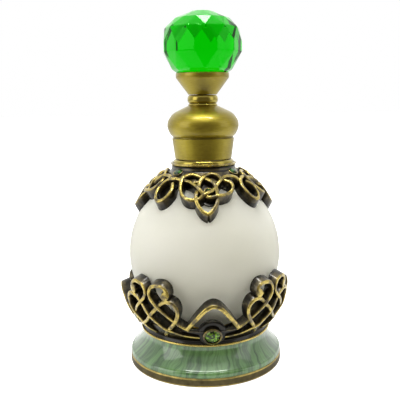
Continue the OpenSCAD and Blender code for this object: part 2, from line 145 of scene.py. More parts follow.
def eased(outline, ease):
    """Closed outline (r, z) with its sharp corners rounded, as (r, z, wear): wear is 1 on an outer
    corner, -1 in an inner one and 0 between them."""
    soft_turn = math.radians(24)
    arc_steps = 3
    fade = 2.2
    count = len(outline)
    area = sum(a[0] * b[1] - b[0] * a[1] for a, b in zip(outline, outline[1:] + outline[:1]))
    result = []
    for i, corner in enumerate(outline):
        here = Vector(corner)
        before = Vector(outline[i - 1]) - here
        after = Vector(outline[(i + 1) % count]) - here
        if before.length < 1e-6 or after.length < 1e-6:
            result.append((here.x, here.y, 0.0))
            continue
        turn = math.pi - before.angle(after)
        if turn < soft_turn:
            result.append((here.x, here.y, 0.0))
            continue
        reach = min(ease, before.length * 0.45, after.length * 0.45)
        outer = (before.x * after.y - before.y * after.x) * area < 0
        wear_and_shade = 1.0 if outer else -1.0
        a = here + before.normalized() * reach
        b = here + after.normalized() * reach
        clear_a = here + before.normalized() * min(reach * fade, before.length * 0.48)
        clear_b = here + after.normalized() * min(reach * fade, after.length * 0.48)
        result.append((clear_a.x, clear_a.y, 0.0))
        for step in range(arc_steps + 1):
            t = step / arc_steps
            p = a * (1 - t) ** 2 + here * 2 * t * (1 - t) + b * t ** 2
            result.append((p.x, p.y, wear_and_shade))
        result.append((clear_b.x, clear_b.y, 0.0))
    return result


def between(table, key):
    """Value at key in a rising table of (key, value) rows."""
    keys = [row[0] for row in table]
    i = min(max(bisect.bisect(keys, key), 1), len(table) - 1)
    (k0, v0), (k1, v1) = table[i - 1], table[i]
    share = min(max((key - k0) / (k1 - k0), 0), 1)
    return v0 + (v1 - v0) * share


# ---------- mesh makers ----------


def new_piece(name, points, faces, material, wear_and_shade=None, sharp=35):
    """Mesh object from points in mm. wear is a value for each point, kept as the attribute "wear"."""
    mesh = bpy.data.meshes.new(name)
    mesh.from_pydata([Vector(p) / 1000 for p in points], [], faces)
    mesh.validate()
    made = bmesh.new()
    made.from_mesh(mesh)
    bmesh.ops.recalc_face_normals(made, faces=made.faces)
    made.to_mesh(mesh)
    made.free()
    if wear_and_shade is not None:
        layer = mesh.attributes.new("wear_and_shade", "FLOAT", "POINT")
        layer.data.foreach_set("value", wear_and_shade)
    mesh.shade_smooth()
    mesh.set_sharp_from_angle(angle=math.radians(sharp))
    mesh.materials.append(material)
    piece = bpy.data.objects.new(name, mesh)
    bpy.context.scene.collection.objects.link(piece)
    return piece


def joined(name, parts):
    """One piece from several that have the same material."""
    with bpy.context.temp_override(active_object=parts[0], selected_editable_objects=parts):
        bpy.ops.object.join()
    parts[0].name = name
    parts[0].data.name = name
    return parts[0]


def turned(name, outline, material, segments=144, ease=0.12, sharp=35, wear_and_shade_shift=0.0):
    """Piece turned about the bottle's axis from a closed outline of (r, z) points."""
    rows = [(r, z, value + wear_and_shade_shift) for r, z, value in eased(outline, ease)]
    points = []
    wear_and_shade = []
    starts = []
    for r, z, value in rows:
        starts.append(len(points))
        steps = 1 if r < 1e-4 else segments
        for i in range(steps):
            a = 2 * math.pi * i / segments
            points.append((r * math.sin(a), -r * math.cos(a), z))
            wear_and_shade.append(value)
    faces = []
    for j, start in enumerate(starts):
        k = (j + 1) % len(starts)
        on_axis = rows[j][0] < 1e-4, rows[k][0] < 1e-4
        if all(on_axis):
            continue
        for i in range(segments):
            n = (i + 1) % segments
            low = [start] if on_axis[0] else [start + i, start + n]
            high = [starts[k]] if on_axis[1] else [starts[k] + n, starts[k] + i]
            faces.append(low + high)
    return new_piece(name, points, faces, material, wear_and_shade, sharp)


def hulled(name, points, material, wear_and_shade_value=None, flat=1.0, sharp=35):
    """Convex piece round the points, with flat facets joined."""
    made = bmesh.new()
    for p in points:
        made.verts.new(Vector(p))
    bmesh.ops.convex_hull(made, input=made.verts)
    loose = [v for v in made.verts if not v.link_faces]
    bmesh.ops.delete(made, geom=loose, context="VERTS")
    bmesh.ops.dissolve_limit(made, angle_limit=math.radians(flat), verts=made.verts, edges=made.edges)
    made.verts.index_update()
    corners = [v.co.copy() for v in made.verts]
    faces = [[v.index for v in f.verts] for f in made.faces]
    made.free()
    wear_and_shade = None if wear_and_shade_value is None else [wear_and_shade_value] * len(corners)
    return new_piece(name, corners, faces, material, wear_and_shade, sharp)


def ring_points(r, z, sides, half_steps=0):
    """Corners of a level polygon round the axis."""
    angles = [2 * math.pi * (i + half_steps / 2) / sides for i in range(sides)]
    return [(r * math.cos(a), r * math.sin(a), z) for a in angles]


def softened(piece, width, segments=2, angle=20):
    """Rounds a piece's edges."""
    bevel = piece.modifiers.new("eased edges", "BEVEL")
    bevel.width = width / 1000
    bevel.segments = segments
    bevel.limit_method = "ANGLE"
    bevel.angle_limit = math.radians(angle)
    bevel.harden_normals = True
    return piece


def moved(piece, matrix):
    """Puts a piece where the matrix says, in its own mesh."""
    piece.data.transform(matrix)
    return piece


def face_out(azimuth, r, z, lean):
    """Place on the surface, whose +Z leans by that many degrees from the vertical to the outside."""
    at = Matrix.Rotation(math.radians(azimuth), 4, "Z") @ Matrix.Translation(Vector((0, -r, z)) / 1000)
    return at @ Matrix.Rotation(math.radians(lean), 4, "X")


def about_axis(azimuth):
    """Turn about the bottle's axis."""
    return Matrix.Rotation(math.radians(azimuth), 4, "Z")


# Cross-section of a strand: [across, in half widths of the face; depth, as a share of the whole; wear].
# The face is crowned, and the walls flare towards the back.
STRAND_SECTION = [
    (-0.98, 0.11, 0.25), (-0.9, 0.035, 1), (-0.5, -0.01, 0.95), (0, -0.02, 0.9), (0.5, -0.01, 0.95), (0.9, 0.035, 1),
    (0.98, 0.11, 0.25), (1.04, 0.22, -0.2), (1.16, 0.55, -0.5), (1.28, 1, -0.9),
    (-1.28, 1, -0.9), (-1.16, 0.55, -0.5), (-1.04, 0.22, -0.2)]


def strand(name, line, place, width, material, head=0, tail=1.0, steps=6):
    """Cast wall that follows a line of (along, across, raise) points. place(along, across, raise, depth)
    gives its points. head is how much wider the wall is at its first end, like a comma, and tail is the
    share of its width that is left at the last."""
    path = smooth_line(line, steps)
    run = [0]
    for a, b in zip(path, path[1:]):
        run.append(run[-1] + math.dist(a[:2], b[:2]))
    head_r = width * (1 + head) / 2
    points = []
    wear_and_shade = []
    for i, (x, y, lift) in enumerate(path):
        before = path[max(i - 1, 0)]
        after = path[min(i + 1, len(path) - 1)]
        along = Vector((after[0] - before[0], after[1] - before[1])).normalized()
        half = width / 2 * (1 - (1 - tail) * (run[i] / run[-1]) ** 2)
        if head:
            s = run[i] - head_r
            bulge = math.sqrt(max(1 - (s / head_r) ** 2, 0.04)) if s < 0 else math.exp(-(s / head_r) ** 2)
            half = head_r * bulge if s < 0 else half + (head_r - half) * bulge
        for across, depth, value in STRAND_SECTION:
            side = across * half
            points.append(place(x - along.y * side, y + along.x * side, lift, depth))
            wear_and_shade.append(value)
    n = len(STRAND_SECTION)
    faces = [[i * n + k, i * n + (k + 1) % n, (i + 1) * n + (k + 1) % n, (i + 1) * n + k]
             for i in range(len(path) - 1) for k in range(n)]
    faces.append(list(range(n)))
    faces.append([(len(path) - 1) * n + k for k in range(n)])
    return new_piece(name, points, faces, material, wear_and_shade, sharp=50)


# ---------- shader helpers ----------


def add(tree, kind, inputs=None, **settings):
    """Adds a node. inputs maps a socket's name or number to a value or to the socket that feeds it."""
    node = tree.nodes.new(kind)
    for key, value in settings.items():
        setattr(node, key, value)
    for key, value in (inputs or {}).items():
        socket = node.inputs[key]
        if isinstance(value, bpy.types.NodeSocket):
            tree.links.new(value, socket)
        else:
            socket.default_value = value
    return node


def maths(tree, operation, *values):
    """Result of a Math node."""
    return add(tree, "ShaderNodeMath", dict(enumerate(values)), operation=operation).outputs[0]


def ranged(tree, value, low, high, to_low=0.0, to_high=1.0):
    """Value mapped smoothly from one range to another."""
    inputs = {0: value, 1: low, 2: high, 3: to_low, 4: to_high}
    return add(tree, "ShaderNodeMapRange", inputs, interpolation_type="SMOOTHSTEP").outputs[0]


def mixed(tree, share, a, b):
    """Colour between a and b."""
    return add(tree, "ShaderNodeMix", {0: share, 6: a, 7: b}, data_type="RGBA").outputs[2]


def noise(tree, vector, scale, detail=3, roughness=0.55):
    """Noise value at a vector."""
    inputs = {"Vector": vector, "Scale": scale, "Detail": detail, "Roughness": roughness}
    return add(tree, "ShaderNodeTexNoise", inputs).outputs[0]


def object_place(tree):
    return add(tree, "ShaderNodeTexCoord").outputs["Object"]


def new_group(name, inputs, outputs):
    """Shader node group with named inputs {name: (kind, default)} and outputs {name: kind}."""
    group = bpy.data.node_groups.new(name, "ShaderNodeTree")
    for label, (kind, default) in inputs.items():
        group.interface.new_socket(label, in_out="INPUT", socket_type="NodeSocket" + kind).default_value = default
    for label, kind in outputs.items():
        group.interface.new_socket(label, in_out="OUTPUT", socket_type="NodeSocket" + kind)
    return group, group.nodes.new("NodeGroupInput").outputs, group.nodes.new("NodeGroupOutput").inputs


def srgb(r, g, b):
    """Colour given as 0 to 255 on a screen, as the renderer wants it."""
    shares = [v / 255 for v in (r, g, b)]
    return tuple(v / 12.92 if v <= 0.04045 else ((v + 0.055) / 1.055) ** 2.4 for v in shares) + (1,)


def build_rubbed():
    """Metal rubbed bright where it stands out and dark in its hollows, from the attribute "wear"."""
    group, given, out = new_group(
        "rubbed metal",
        {"Dark": ("Color", srgb(50, 42, 25)), "Middle": ("Color", srgb(110, 95, 60)),
         "Bright": ("Color", srgb(215, 190, 105)), "Rubbing": ("Float", 0.5), "Patches": ("Float", 0.5),
         "Smooth": ("Float", 0.3), "Rough": ("Float", 0.55)},
        {"Color": "Color", "Roughness": "Float", "Height": "Float"})
    place = object_place(group)
    wear_and_shade_level = add(group, "ShaderNodeAttribute", attribute_name="wear_and_shade").outputs["Fac"]
    patch_size, grain_size = 420, 2600
    patches = maths(group, "SUBTRACT", noise(group, place, patch_size, 4, 0.6), 0.5)
    grain = noise(group, place, grain_size, 3, 0.6)
    level = maths(group, "MULTIPLY_ADD", patches, given["Patches"], wear_and_shade_level)
    level = maths(group, "ADD", level, maths(group, "SUBTRACT", given["Rubbing"], 0.5))
    bright = ranged(group, level, 0.3, 0.95)
    dark = ranged(group, level, -1.1, 0.25)
    under = mixed(group, dark, given["Dark"], given["Middle"])
    group.links.new(mixed(group, bright, under, given["Bright"]), out["Color"])
    rough = maths(group, "MULTIPLY_ADD", maths(group, "SUBTRACT", grain, 0.5), 0.25, given["Rough"])
    spread = maths(group, "SUBTRACT", given["Smooth"], rough)
    group.links.new(maths(group, "MULTIPLY_ADD", bright, spread, rough), out["Roughness"])
    group.links.new(maths(group, "MULTIPLY_ADD", grain, 0.4, patches), out["Height"])
    return group


def build_turned_lines():
    """Fine lines round the axis, as a lathe and a brush leave them, and slow changes of tone."""
    group, given, out = new_group(
        "turned lines",
        {"Fineness": ("Float", 9000.0), "Tone": ("Float", 60.0)},
        {"Lines": "Float", "Tones": "Float", "Height": "Float"})
    place = object_place(group)
    split = add(group, "ShaderNodeSeparateXYZ", {0: place}).outputs
    reach = maths(group, "SQRT", maths(group, "ADD", maths(group, "POWER", split[0], 2.0),
                                       maths(group, "POWER", split[1], 2.0)))
    angle = maths(group, "MULTIPLY", maths(group, "ABSOLUTE", maths(group, "ARCTAN2", split[0], split[1])), 0.0006)
    across = add(group, "ShaderNodeCombineXYZ", {0: reach, 1: angle, 2: split[2]}).outputs[0]
    lines = noise(group, across, given["Fineness"], 2, 0.7)
    group.links.new(lines, out["Lines"])
    group.links.new(noise(group, place, given["Tone"], 3, 0.5), out["Tones"])
    group.links.new(lines, out["Height"])
    return group


def build_streaks():
    """Slanting streaks that run down a turned surface, like brushed enamel."""
    group, given, out = new_group(
        "streaks",
        {"Across": ("Float", 9.0), "Down": ("Float", 90.0), "Slant": ("Float", 40.0)},
        {"Broad": "Float", "Fine": "Float"})
    place = object_place(group)
    split = add(group, "ShaderNodeSeparateXYZ", {0: place}).outputs
    angle = maths(group, "ARCTAN2", split[0], split[1])
    slanted = maths(group, "MULTIPLY_ADD", split[2], given["Slant"], angle)
    wavy = maths(group, "MULTIPLY_ADD", noise(group, place, 120, 2), 0.25, slanted)
    around = add(group, "ShaderNodeCombineXYZ", {
        0: maths(group, "MULTIPLY", maths(group, "COSINE", wavy), given["Across"]),
        1: maths(group, "MULTIPLY", maths(group, "SINE", wavy), given["Across"]),
        2: maths(group, "MULTIPLY", split[2], given["Down"])}).outputs[0]
    group.links.new(noise(group, around, 0.9, 3, 0.6), out["Broad"])
    group.links.new(noise(group, around, 3.2, 3, 0.6), out["Fine"])
    return group


rubbed_group = build_rubbed()
turned_lines_group = build_turned_lines()
streaks_group = build_streaks()


def place_group(tree, group, **values):
    """Adds a node group with its inputs set. Returns its outputs."""
    node = tree.nodes.new("ShaderNodeGroup")
    node.node_tree = group
    for label, value in values.items():
        node.inputs[label].default_value = value
    return node.outputs


def new_finish(name, **sockets):
    """Material with its Principled BSDF's plain values set. Returns (material, tree, shader)."""
    material = bpy.data.materials.new(name)
    material.use_nodes = True
    tree = material.node_tree
    shader = tree.nodes["Principled BSDF"]
    for key, value in sockets.items():
        shader.inputs[key.replace("_", " ")].default_value = value
    return material, tree, shader


def bumped(tree, shader, height, strength, distance):
    """Feeds a height to the shader's normal. distance is in mm."""
    bump = add(tree, "ShaderNodeBump", {"Height": height, "Strength": strength, "Distance": distance / 1000})
    tree.links.new(bump.outputs[0], shader.inputs["Normal"])


# ---------- finishes ----------


def openwork_finish():
    """Dark cast metal that is rubbed bright on its faces."""
    material, tree, shader = new_finish(
        "antique bronze, rubbed", Metallic=0.85, Coat_Weight=0.6, Coat_Roughness=0.12, IOR=1.45)
    out = place_group(
        tree, rubbed_group, Dark=srgb(22, 19, 10), Middle=srgb(96, 86, 60), Bright=srgb(200, 178, 90),
        Rubbing=0.26, Patches=2.6, Smooth=0.26, Rough=0.34)
    tree.links.new(out["Color"], shader.inputs["Base Color"])
    tree.links.new(out["Roughness"], shader.inputs["Roughness"])
    bumped(tree, shader, out["Height"], 0.7, 0.12)
    return material


def rim_finish():
    """Duller cast metal of the foot's rim."""
    material, tree, shader = new_finish("antique brass rim", Metallic=0.95, IOR=1.45)
    out = place_group(
        tree, rubbed_group, Dark=srgb(50, 43, 26), Middle=srgb(108, 99, 68), Bright=srgb(196, 174, 98),
        Rubbing=0.2, Patches=1.2, Smooth=0.3, Rough=0.45)
    tree.links.new(out["Color"], shader.inputs["Base Color"])
    tree.links.new(out["Roughness"], shader.inputs["Roughness"])
    bumped(tree, shader, out["Height"], 0.4, 0.03)
    return material


def turned_brass(name, deep, light, rough, line_depth, lacquer):
    """Brass turned on a lathe: deep and light are the two tones of its brushing. Its inner corners are darkened as
    painted shade.
    """
    material, tree, shader = new_finish(name, Metallic=1.0, IOR=1.45, Coat_Weight=lacquer, Coat_Roughness=0.03)
    lines = place_group(tree, turned_lines_group, Fineness=7000.0, Tone=110.0)
    share = maths(tree, "MULTIPLY_ADD", lines["Lines"], 0.4, maths(tree, "MULTIPLY", lines["Tones"], 0.6))
    tone = mixed(tree, ranged(tree, share, 0.3, 0.7), deep, light)
    wear_and_shade_level = add(tree, "ShaderNodeAttribute", attribute_name="wear_and_shade").outputs["Fac"]
    # Painted shade: inner corners are mixed towards a dark brown, standing in for shade in the grooves.
    painted_corner_shade = ranged(tree, wear_and_shade_level, -1.0, 0.0, 0.75, 0.0)
    tone = mixed(tree, painted_corner_shade, tone, srgb(45, 36, 12))
    tree.links.new(tone, shader.inputs["Base Color"])
    tree.links.new(ranged(tree, lines["Lines"], 0.3, 0.7, rough - 0.04, rough + 0.04), shader.inputs["Roughness"])
    bumped(tree, shader, lines["Height"], 0.35, line_depth)
    return material


def frosted_finish():
    """Milky glass, with painted shade: a little darker where it stands in the basket."""
    material, tree, shader = new_finish(
        "frosted glass", Roughness=0.55, IOR=1.35, Transmission_Weight=0.55)
    shader.inputs["Specular IOR Level"].default_value = 0.3
    # Painted glow: a faint emission stands in for light carried through the frosted glass.
    shader.inputs["Emission Color"].default_value = srgb(240, 239, 230)
    shader.inputs["Emission Strength"].default_value = 0.025
    place = object_place(tree)
    cloud = noise(tree, place, 45, 2)
    etch = noise(tree, place, 5200, 2)
    split = add(tree, "ShaderNodeSeparateXYZ", {0: place}).outputs
    tone = mixed(tree, ranged(tree, cloud, 0.3, 0.7), srgb(244, 243, 232), srgb(252, 251, 243))
    # Painted shade: the base colour turns darker below these heights, for the basket's shadow and dark reflection.
    shade_low, shade_high = 0.012, 0.026
    tone = mixed(tree, ranged(tree, split[2], shade_low, shade_high), srgb(196, 194, 174), tone)
    tree.links.new(tone, shader.inputs["Base Color"])
    tree.links.new(ranged(tree, etch, 0.3, 0.7, 0.5, 0.6), shader.inputs["Roughness"])
    bumped(tree, shader, etch, 0.25, 0.02)
    return material


def enamel_finish():
    """Green enamel with darker streaks under a clear gloss."""
    material, tree, shader = new_finish(
        "mint enamel", Roughness=0.4, IOR=1.5, Coat_Weight=1.0, Coat_Roughness=0.09, Coat_IOR=1.65)
    streaks = place_group(tree, streaks_group, Across=19.0, Down=80.0, Slant=10.0)
    broad = ranged(tree, streaks["Broad"], 0.36, 0.66)
    fine = ranged(tree, streaks["Fine"], 0.45, 0.75)
    tone = mixed(tree, broad, srgb(98, 142, 80), srgb(50, 90, 40))
    fine_share = 0.5
    tone = mixed(tree, maths(tree, "MULTIPLY", fine, fine_share), tone, srgb(26, 50, 20))
    tree.links.new(tone, shader.inputs["Base Color"])
    bumped(tree, shader, streaks["Fine"], 0.12, 0.05)
    return material


def crystal_finish(name, clear, density, tint=(1, 1, 1, 1), gloss=(1, 1, 1, 1)):
    """Clear coloured glass: clear is the share of each colour that it lets through."""
    material, tree, shader = new_finish(
        name, Base_Color=tint, Roughness=0.0, IOR=1.5, Transmission_Weight=1.0, Specular_Tint=gloss)
    absorb = add(tree, "ShaderNodeVolumeAbsorption", {"Color": clear, "Density": density})
    output = tree.nodes["Material Output"]
    tree.links.new(absorb.outputs[0], output.inputs["Volume"])
    smear = noise(tree, object_place(tree), 260, 2)
    tree.links.new(ranged(tree, smear, 0.4, 0.7, 0.0, 0.03), shader.inputs["Roughness"])
    return material


def stone_finish(name, deep, light, glow):
    """Cut glass stone with a foil behind it: bright and dark facets in one colour, painted as reflections of the foil,
    and a faint painted glow.
    """
    material, tree, shader = new_finish(
        name, Metallic=0.4, Roughness=0.12, IOR=1.5, Coat_Weight=0.4, Coat_Roughness=0.03)
    place = object_place(tree)
    # Painted reflections: random cells of two tones stand in for facets that catch the foil's light.
    cell_scale = 1500.0
    cells = add(tree, "ShaderNodeTexVoronoi", {"Vector": place, "Scale": cell_scale, "Randomness": 0.9})
    split = add(tree, "ShaderNodeSeparateColor", {0: cells.outputs["Color"]}).outputs[0]
    tone = mixed(tree, ranged(tree, split, 0.2, 0.8), deep, light)
    tree.links.new(tone, shader.inputs["Base Color"])
    # Painted glow: the stone's colour is also emitted.
    tree.links.new(tone, shader.inputs["Emission Color"])
    shader.inputs["Emission Strength"].default_value = glow
    return material


def plain_finish(name, low, high, scale, rough, height, **sockets):
    """Moulded or soft stuff with a fine grain: two near tones and a little bump, height in mm."""
    material, tree, shader = new_finish(name, Roughness=rough, **sockets)
    grain = noise(tree, object_place(tree), scale, 4)
    tree.links.new(mixed(tree, ranged(tree, grain, 0.3, 0.7), low, high), shader.inputs["Base Color"])
    bumped(tree, shader, grain, 0.5, height)
    return material


openwork = openwork_finish()
rim_brass = rim_finish()
satin_brass = turned_brass("satin brass", srgb(138, 122, 34), srgb(176, 160, 58), 0.46, 0.006, 0.45)
bright_brass = turned_brass("polished brass", srgb(146, 130, 50), srgb(186, 170, 80), 0.2, 0.003, 0.3)
frosted = frosted_finish()
enamel = enamel_finish()
crystal_green = (0.15, 1, 0.15, 1)
green_crystal = crystal_finish("green crystal", (0, 0.92, 0, 1), 380, tint=crystal_green, gloss=crystal_green)
clear_glass = crystal_finish("clear glass", (0.9, 1.0, 0.95, 1), 8)
peridot = stone_finish("peridot", srgb(24, 42, 6), srgb(120, 165, 44), 0.03)
dark_stone = stone_finish("dark green stone", srgb(8, 34, 8), srgb(56, 112, 30), 0.04)
white_plastic = plain_finish("ivory plastic", srgb(225, 222, 210), srgb(240, 238, 228), 900, 0.45, 0.01)
wad_foam = plain_finish("foam liner", srgb(215, 210, 198), srgb(236, 232, 222), 2600, 0.85, 0.05)
felt = plain_finish("green felt", srgb(30, 42, 33), srgb(58, 76, 62), 3000, 0.95, 0.08, Sheen_Weight=0.4)
steel = plain_finish("turned steel", srgb(140, 140, 136), srgb(185, 185, 180), 1500, 0.35, 0.006, Metallic=1.0)

# ---------- foot ----------

ENAMEL_T = 0.9
ENAMEL_LINE = smooth_line(
    [(RIM_R - 0.12, RIM_H), (RIM_R - 0.15, 3.8), (24.6, 4.45), (24.05, 4.8), (23, 5.85), (22, 7), (21.05, 8.35),
     (WAIST_R, 9.8), (WAIST_R + 0.15, FOOT_TOP)], 5)


def make_foot():
    """Cast foot with its brass rim and the recess for the pad."""
    pad_roof = 1.3
    hub_r = 9
    lip = 0.3
    back = [(r - ENAMEL_T, z) for r, z in ENAMEL_LINE]
    outline = [(0, pad_roof), (PAD_R, pad_roof), (PAD_R, 0), (RIM_R - lip, 0), (RIM_R, lip),
               (RIM_R, RIM_H - lip), (RIM_R - lip, RIM_H + 0.02)]
    outline += back + [(hub_r, FOOT_TOP), (hub_r, GLASS_BASE), (0, GLASS_BASE)]
    foot = turned("foot_casting", outline, rim_brass, ease=0.35)
    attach(foot, "bottle")
    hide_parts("foot")


def make_enamel():
    """Enamel in the foot's cove."""
    back = [(r - ENAMEL_T, z) for r, z in reversed(ENAMEL_LINE)]
    ring = turned("enamel_cove", ENAMEL_LINE + back, enamel, ease=0.25)
    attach(ring, "bottle")
    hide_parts("enamel_ring")


# ---------- glass ----------


def make_globe():
    """Hollow globe with its neck and bore."""
    inner_r = GLOBE_R - GLASS_T
    lip = 0.5
    steps = 40
    low = math.degrees(math.asin((GLOBE_Z - GLASS_BASE) / GLOBE_DOWN))
    outline = [(0, GLASS_BASE)]
    outline += ellipse_arc(GLOBE_R, GLOBE_DOWN, GLOBE_Z, -low, 0, steps)
    outline += ellipse_arc(GLOBE_R, GLOBE_UP, GLOBE_Z, 2, math.degrees(math.acos(NECK_R / GLOBE_R)), steps)
    outline += [(NECK_R, NECK_TOP - lip), (NECK_R - lip, NECK_TOP), (BORE_R, NECK_TOP)]
    outline += ellipse_arc(inner_r, GLOBE_UP - GLASS_T, GLOBE_Z, math.degrees(math.acos(BORE_R / inner_r)), 0, steps)
    outline += ellipse_arc(inner_r, GLOBE_DOWN - GLASS_T, GLOBE_Z, -2, -90, steps)
    globe = turned("frosted_globe", outline, frosted, ease=0.3)
    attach(globe, "bottle")
    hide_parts("glass_bottle")


def make_neck_thread():
    """Helical ridge on the neck that fades out at both ends."""
    pitch, start, turns, steps = 2.1, 70.4, 2.4, 48
    root, crest = NECK_R - 0.3, NECK_R + 0.8
    section = [(root, 0.65), (crest - 0.15, 0.36), (crest, 0.22), (crest, -0.22), (crest - 0.15, -0.36), (root, -0.65)]
    count = round(turns * steps)
    fade_steps = 10
    points = []
    for i in range(count + 1):
        a = 2 * math.pi * i / steps
        fade = max(0.2, min(1, i / fade_steps, (count - i) / fade_steps))
        for r, dz in section:
            reach = root + (r - root) * fade
            points.append((reach * math.cos(a), reach * math.sin(a), start + pitch * i / steps + dz))
    n = len(section)
    faces = [[i * n + k, (i + 1) * n + k, (i + 1) * n + (k + 1) % n, i * n + (k + 1) % n]
             for i in range(count) for k in range(n)]
    faces += [list(range(n)), [count * n + k for k in range(n)]]
    ridge = new_piece("neck_thread", points, faces, frosted)
    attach(ridge, "bottle")


# ---------- lower basket ----------

BASKET_DEEP = 2.8
BASKET_REF = 26
BACK_LIFT = 0.35
STRAND_W = 1.1
ARCH_STONE = {"r": 23.2, "z": 15.3, "lean": 108, "d": 4.7}
BASKET_FACE = smooth_line(
    [(FOOT_TOP, 20.8), (13.3, 21.6), (16.2, 24.2), (18, 25), (20.3, 26), (23, 26.8), (25.9, 27.4), (32, 27.6)], 5)

# Lines as (degrees, height, raise). The first two start at the pair's centre line, the last at the arch's.
SCROLL_LINE = [
    (11.2, 28.2, 0), (13.8, 28.3, 0), (14.9, 29.8, 0), (12.6, 31, 0), (8.5, 31.2, 0), (4, 30.6, 0), (1.7, 28.8, 0),
    (2.6, 26.9, 0), (6, 25.2, 0.1), (10, 23.6, 0.2), (14, 22, 0), (18, 20.4, -0.2), (23, 18.7, -0.1), (28, 17.6, 0)]
SWEEP_LINE = [
    (5, 13.8, -0.3), (9, 15.2, 0), (12.5, 16.9, -0.1), (16.5, 18.6, 0.1), (20, 20.6, 0.3), (21.9, 22.9, 0.2),
    (21.6, 24.9, 0.1), (19.2, 26.3, 0.1), (15, 26.7, 0), (11, 25.9, -0.3), (7, 24.2, -0.4), (3, 22.4, 0.1),
    (0, 20.9, 0.3), (-5, 18.8, 0.2), (-10, 17.3, 0.3), (-16, 16.1, -0.2), (-24, 15.1, -0.1), (-35, 14.4, -0.3)]
ARCH_HALF = [
    (0, 26, 0.2), (2.6, 25.7, 0.2), (5.4, 24.8, 0.2), (10, 22.4, 0.2), (14.5, 19.9, 0.2), (18, 17.9, 0.1)]


def basket_place(centre):
    """Place function for strands round one centre line: along is a distance round at BASKET_REF."""
    def place(along, height, lift, depth):
        a = math.radians(centre) + along / BASKET_REF
        sunk = depth * BASKET_DEEP - lift * (1 - depth / 2)
        r = between(BASKET_FACE, height) - sunk
        return r * math.sin(a), -r * math.cos(a), height + depth * BASKET_DEEP * BACK_LIFT
    return place


def round_basket(line, side=1):
    """Turns degrees into a distance round, mirrored where side is -1."""
    return [(side * math.radians(a) * BASKET_REF, z, lift) for a, z, lift in line]


def make_basket():
    """Bowl, rolled edge, arches with their stone seats, and pairs of scrolls."""
    wall = 2
    bowl = [(20.8, FOOT_TOP + 0.5), (20.2, 12.6), (21, 14), (22.4, 15.8), (22.7, 16.8)]
    outline = [(WAIST_R - wall, FOOT_TOP), (21, FOOT_TOP)] + bowl + [(r - wall, z) for r, z in bowl[:0:-1]]
    # The bowl is shifted to the dark tone: patina, and painted shade behind the scrolls.
    parts = [turned("basket_bowl", outline, openwork, ease=0.3, wear_and_shade_shift=-1.2)]
    roll_r, roll_half = 20.95, 0.38
    roll = [(roll_r + roll_half * math.cos(a), FOOT_TOP + roll_half * (1 + math.sin(a)))
            for a in (math.radians(20 * i) for i in range(18))]
    parts.append(turned("basket_roll", roll, openwork, wear_and_shade_shift=1.2))
    hump_r, hump_half, hump_lean = 4.3, 0.8, 104
    dish = [(0, -hump_half), (hump_r, -hump_half), (hump_r, 0.5), (4, hump_half), (0, hump_half)]
    seat_r = ARCH_STONE["d"] / 2
    seat = [(seat_r + 0.05, 1.2), (seat_r + 0.6, 1.0), (seat_r + 0.65, -0.5), (0, -0.5), (0, 0.4), (seat_r + 0.05, 0.4)]
    for i in range(REPEATS):
        place = basket_place(i * TURN)
        arch = round_basket(ARCH_HALF[:0:-1], -1) + round_basket(ARCH_HALF)
        parts.append(strand("arch", arch, place, STRAND_W * 1.15, openwork))
        hump = turned("hump", dish, openwork, segments=32, ease=0.4, wear_and_shade_shift=-1.8)
        parts.append(moved(hump, face_out(i * TURN, ARCH_STONE["r"] - 2, ARCH_STONE["z"] + 0.6, hump_lean)))
        bezel = turned("bezel", seat, openwork, segments=40, ease=0.15, wear_and_shade_shift=-0.25)
        parts.append(moved(bezel, face_out(i * TURN, ARCH_STONE["r"] - 1.4, ARCH_STONE["z"], ARCH_STONE["lean"])))
        pair = basket_place((i + 0.5) * TURN)
        for side in (1, -1):
            parts.append(strand("scroll", round_basket(SCROLL_LINE, side), pair, STRAND_W, openwork, 1.4, 0.7))
            parts.append(strand("sweep", round_basket(SWEEP_LINE, side), pair, STRAND_W * 1.1, openwork, tail=0.6))
    basket = joined("basket_openwork", parts)
    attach(basket, "bottle")
    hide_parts("lower_basket")


# ---------- shoulder collar ----------

SLOPE_R = 31.5
SLOPE_CENTRE = (-5.2, 36.9)
SLOPE_START = 32
SLOPE_LEN = 16.5
WALL_SLANT = math.radians(30)
DEEP_TOP = 3.75
DEEP_END = 2.85
KNOT_STONE = {"w": 7.3, "sink": 1.7, "d": 2.4}
LEAF_STONE = {"w": -0.3, "sink": 0.9, "d": 2.9}
LEAF_TURN = 48.5
LEAF_STONE_TURN = 52

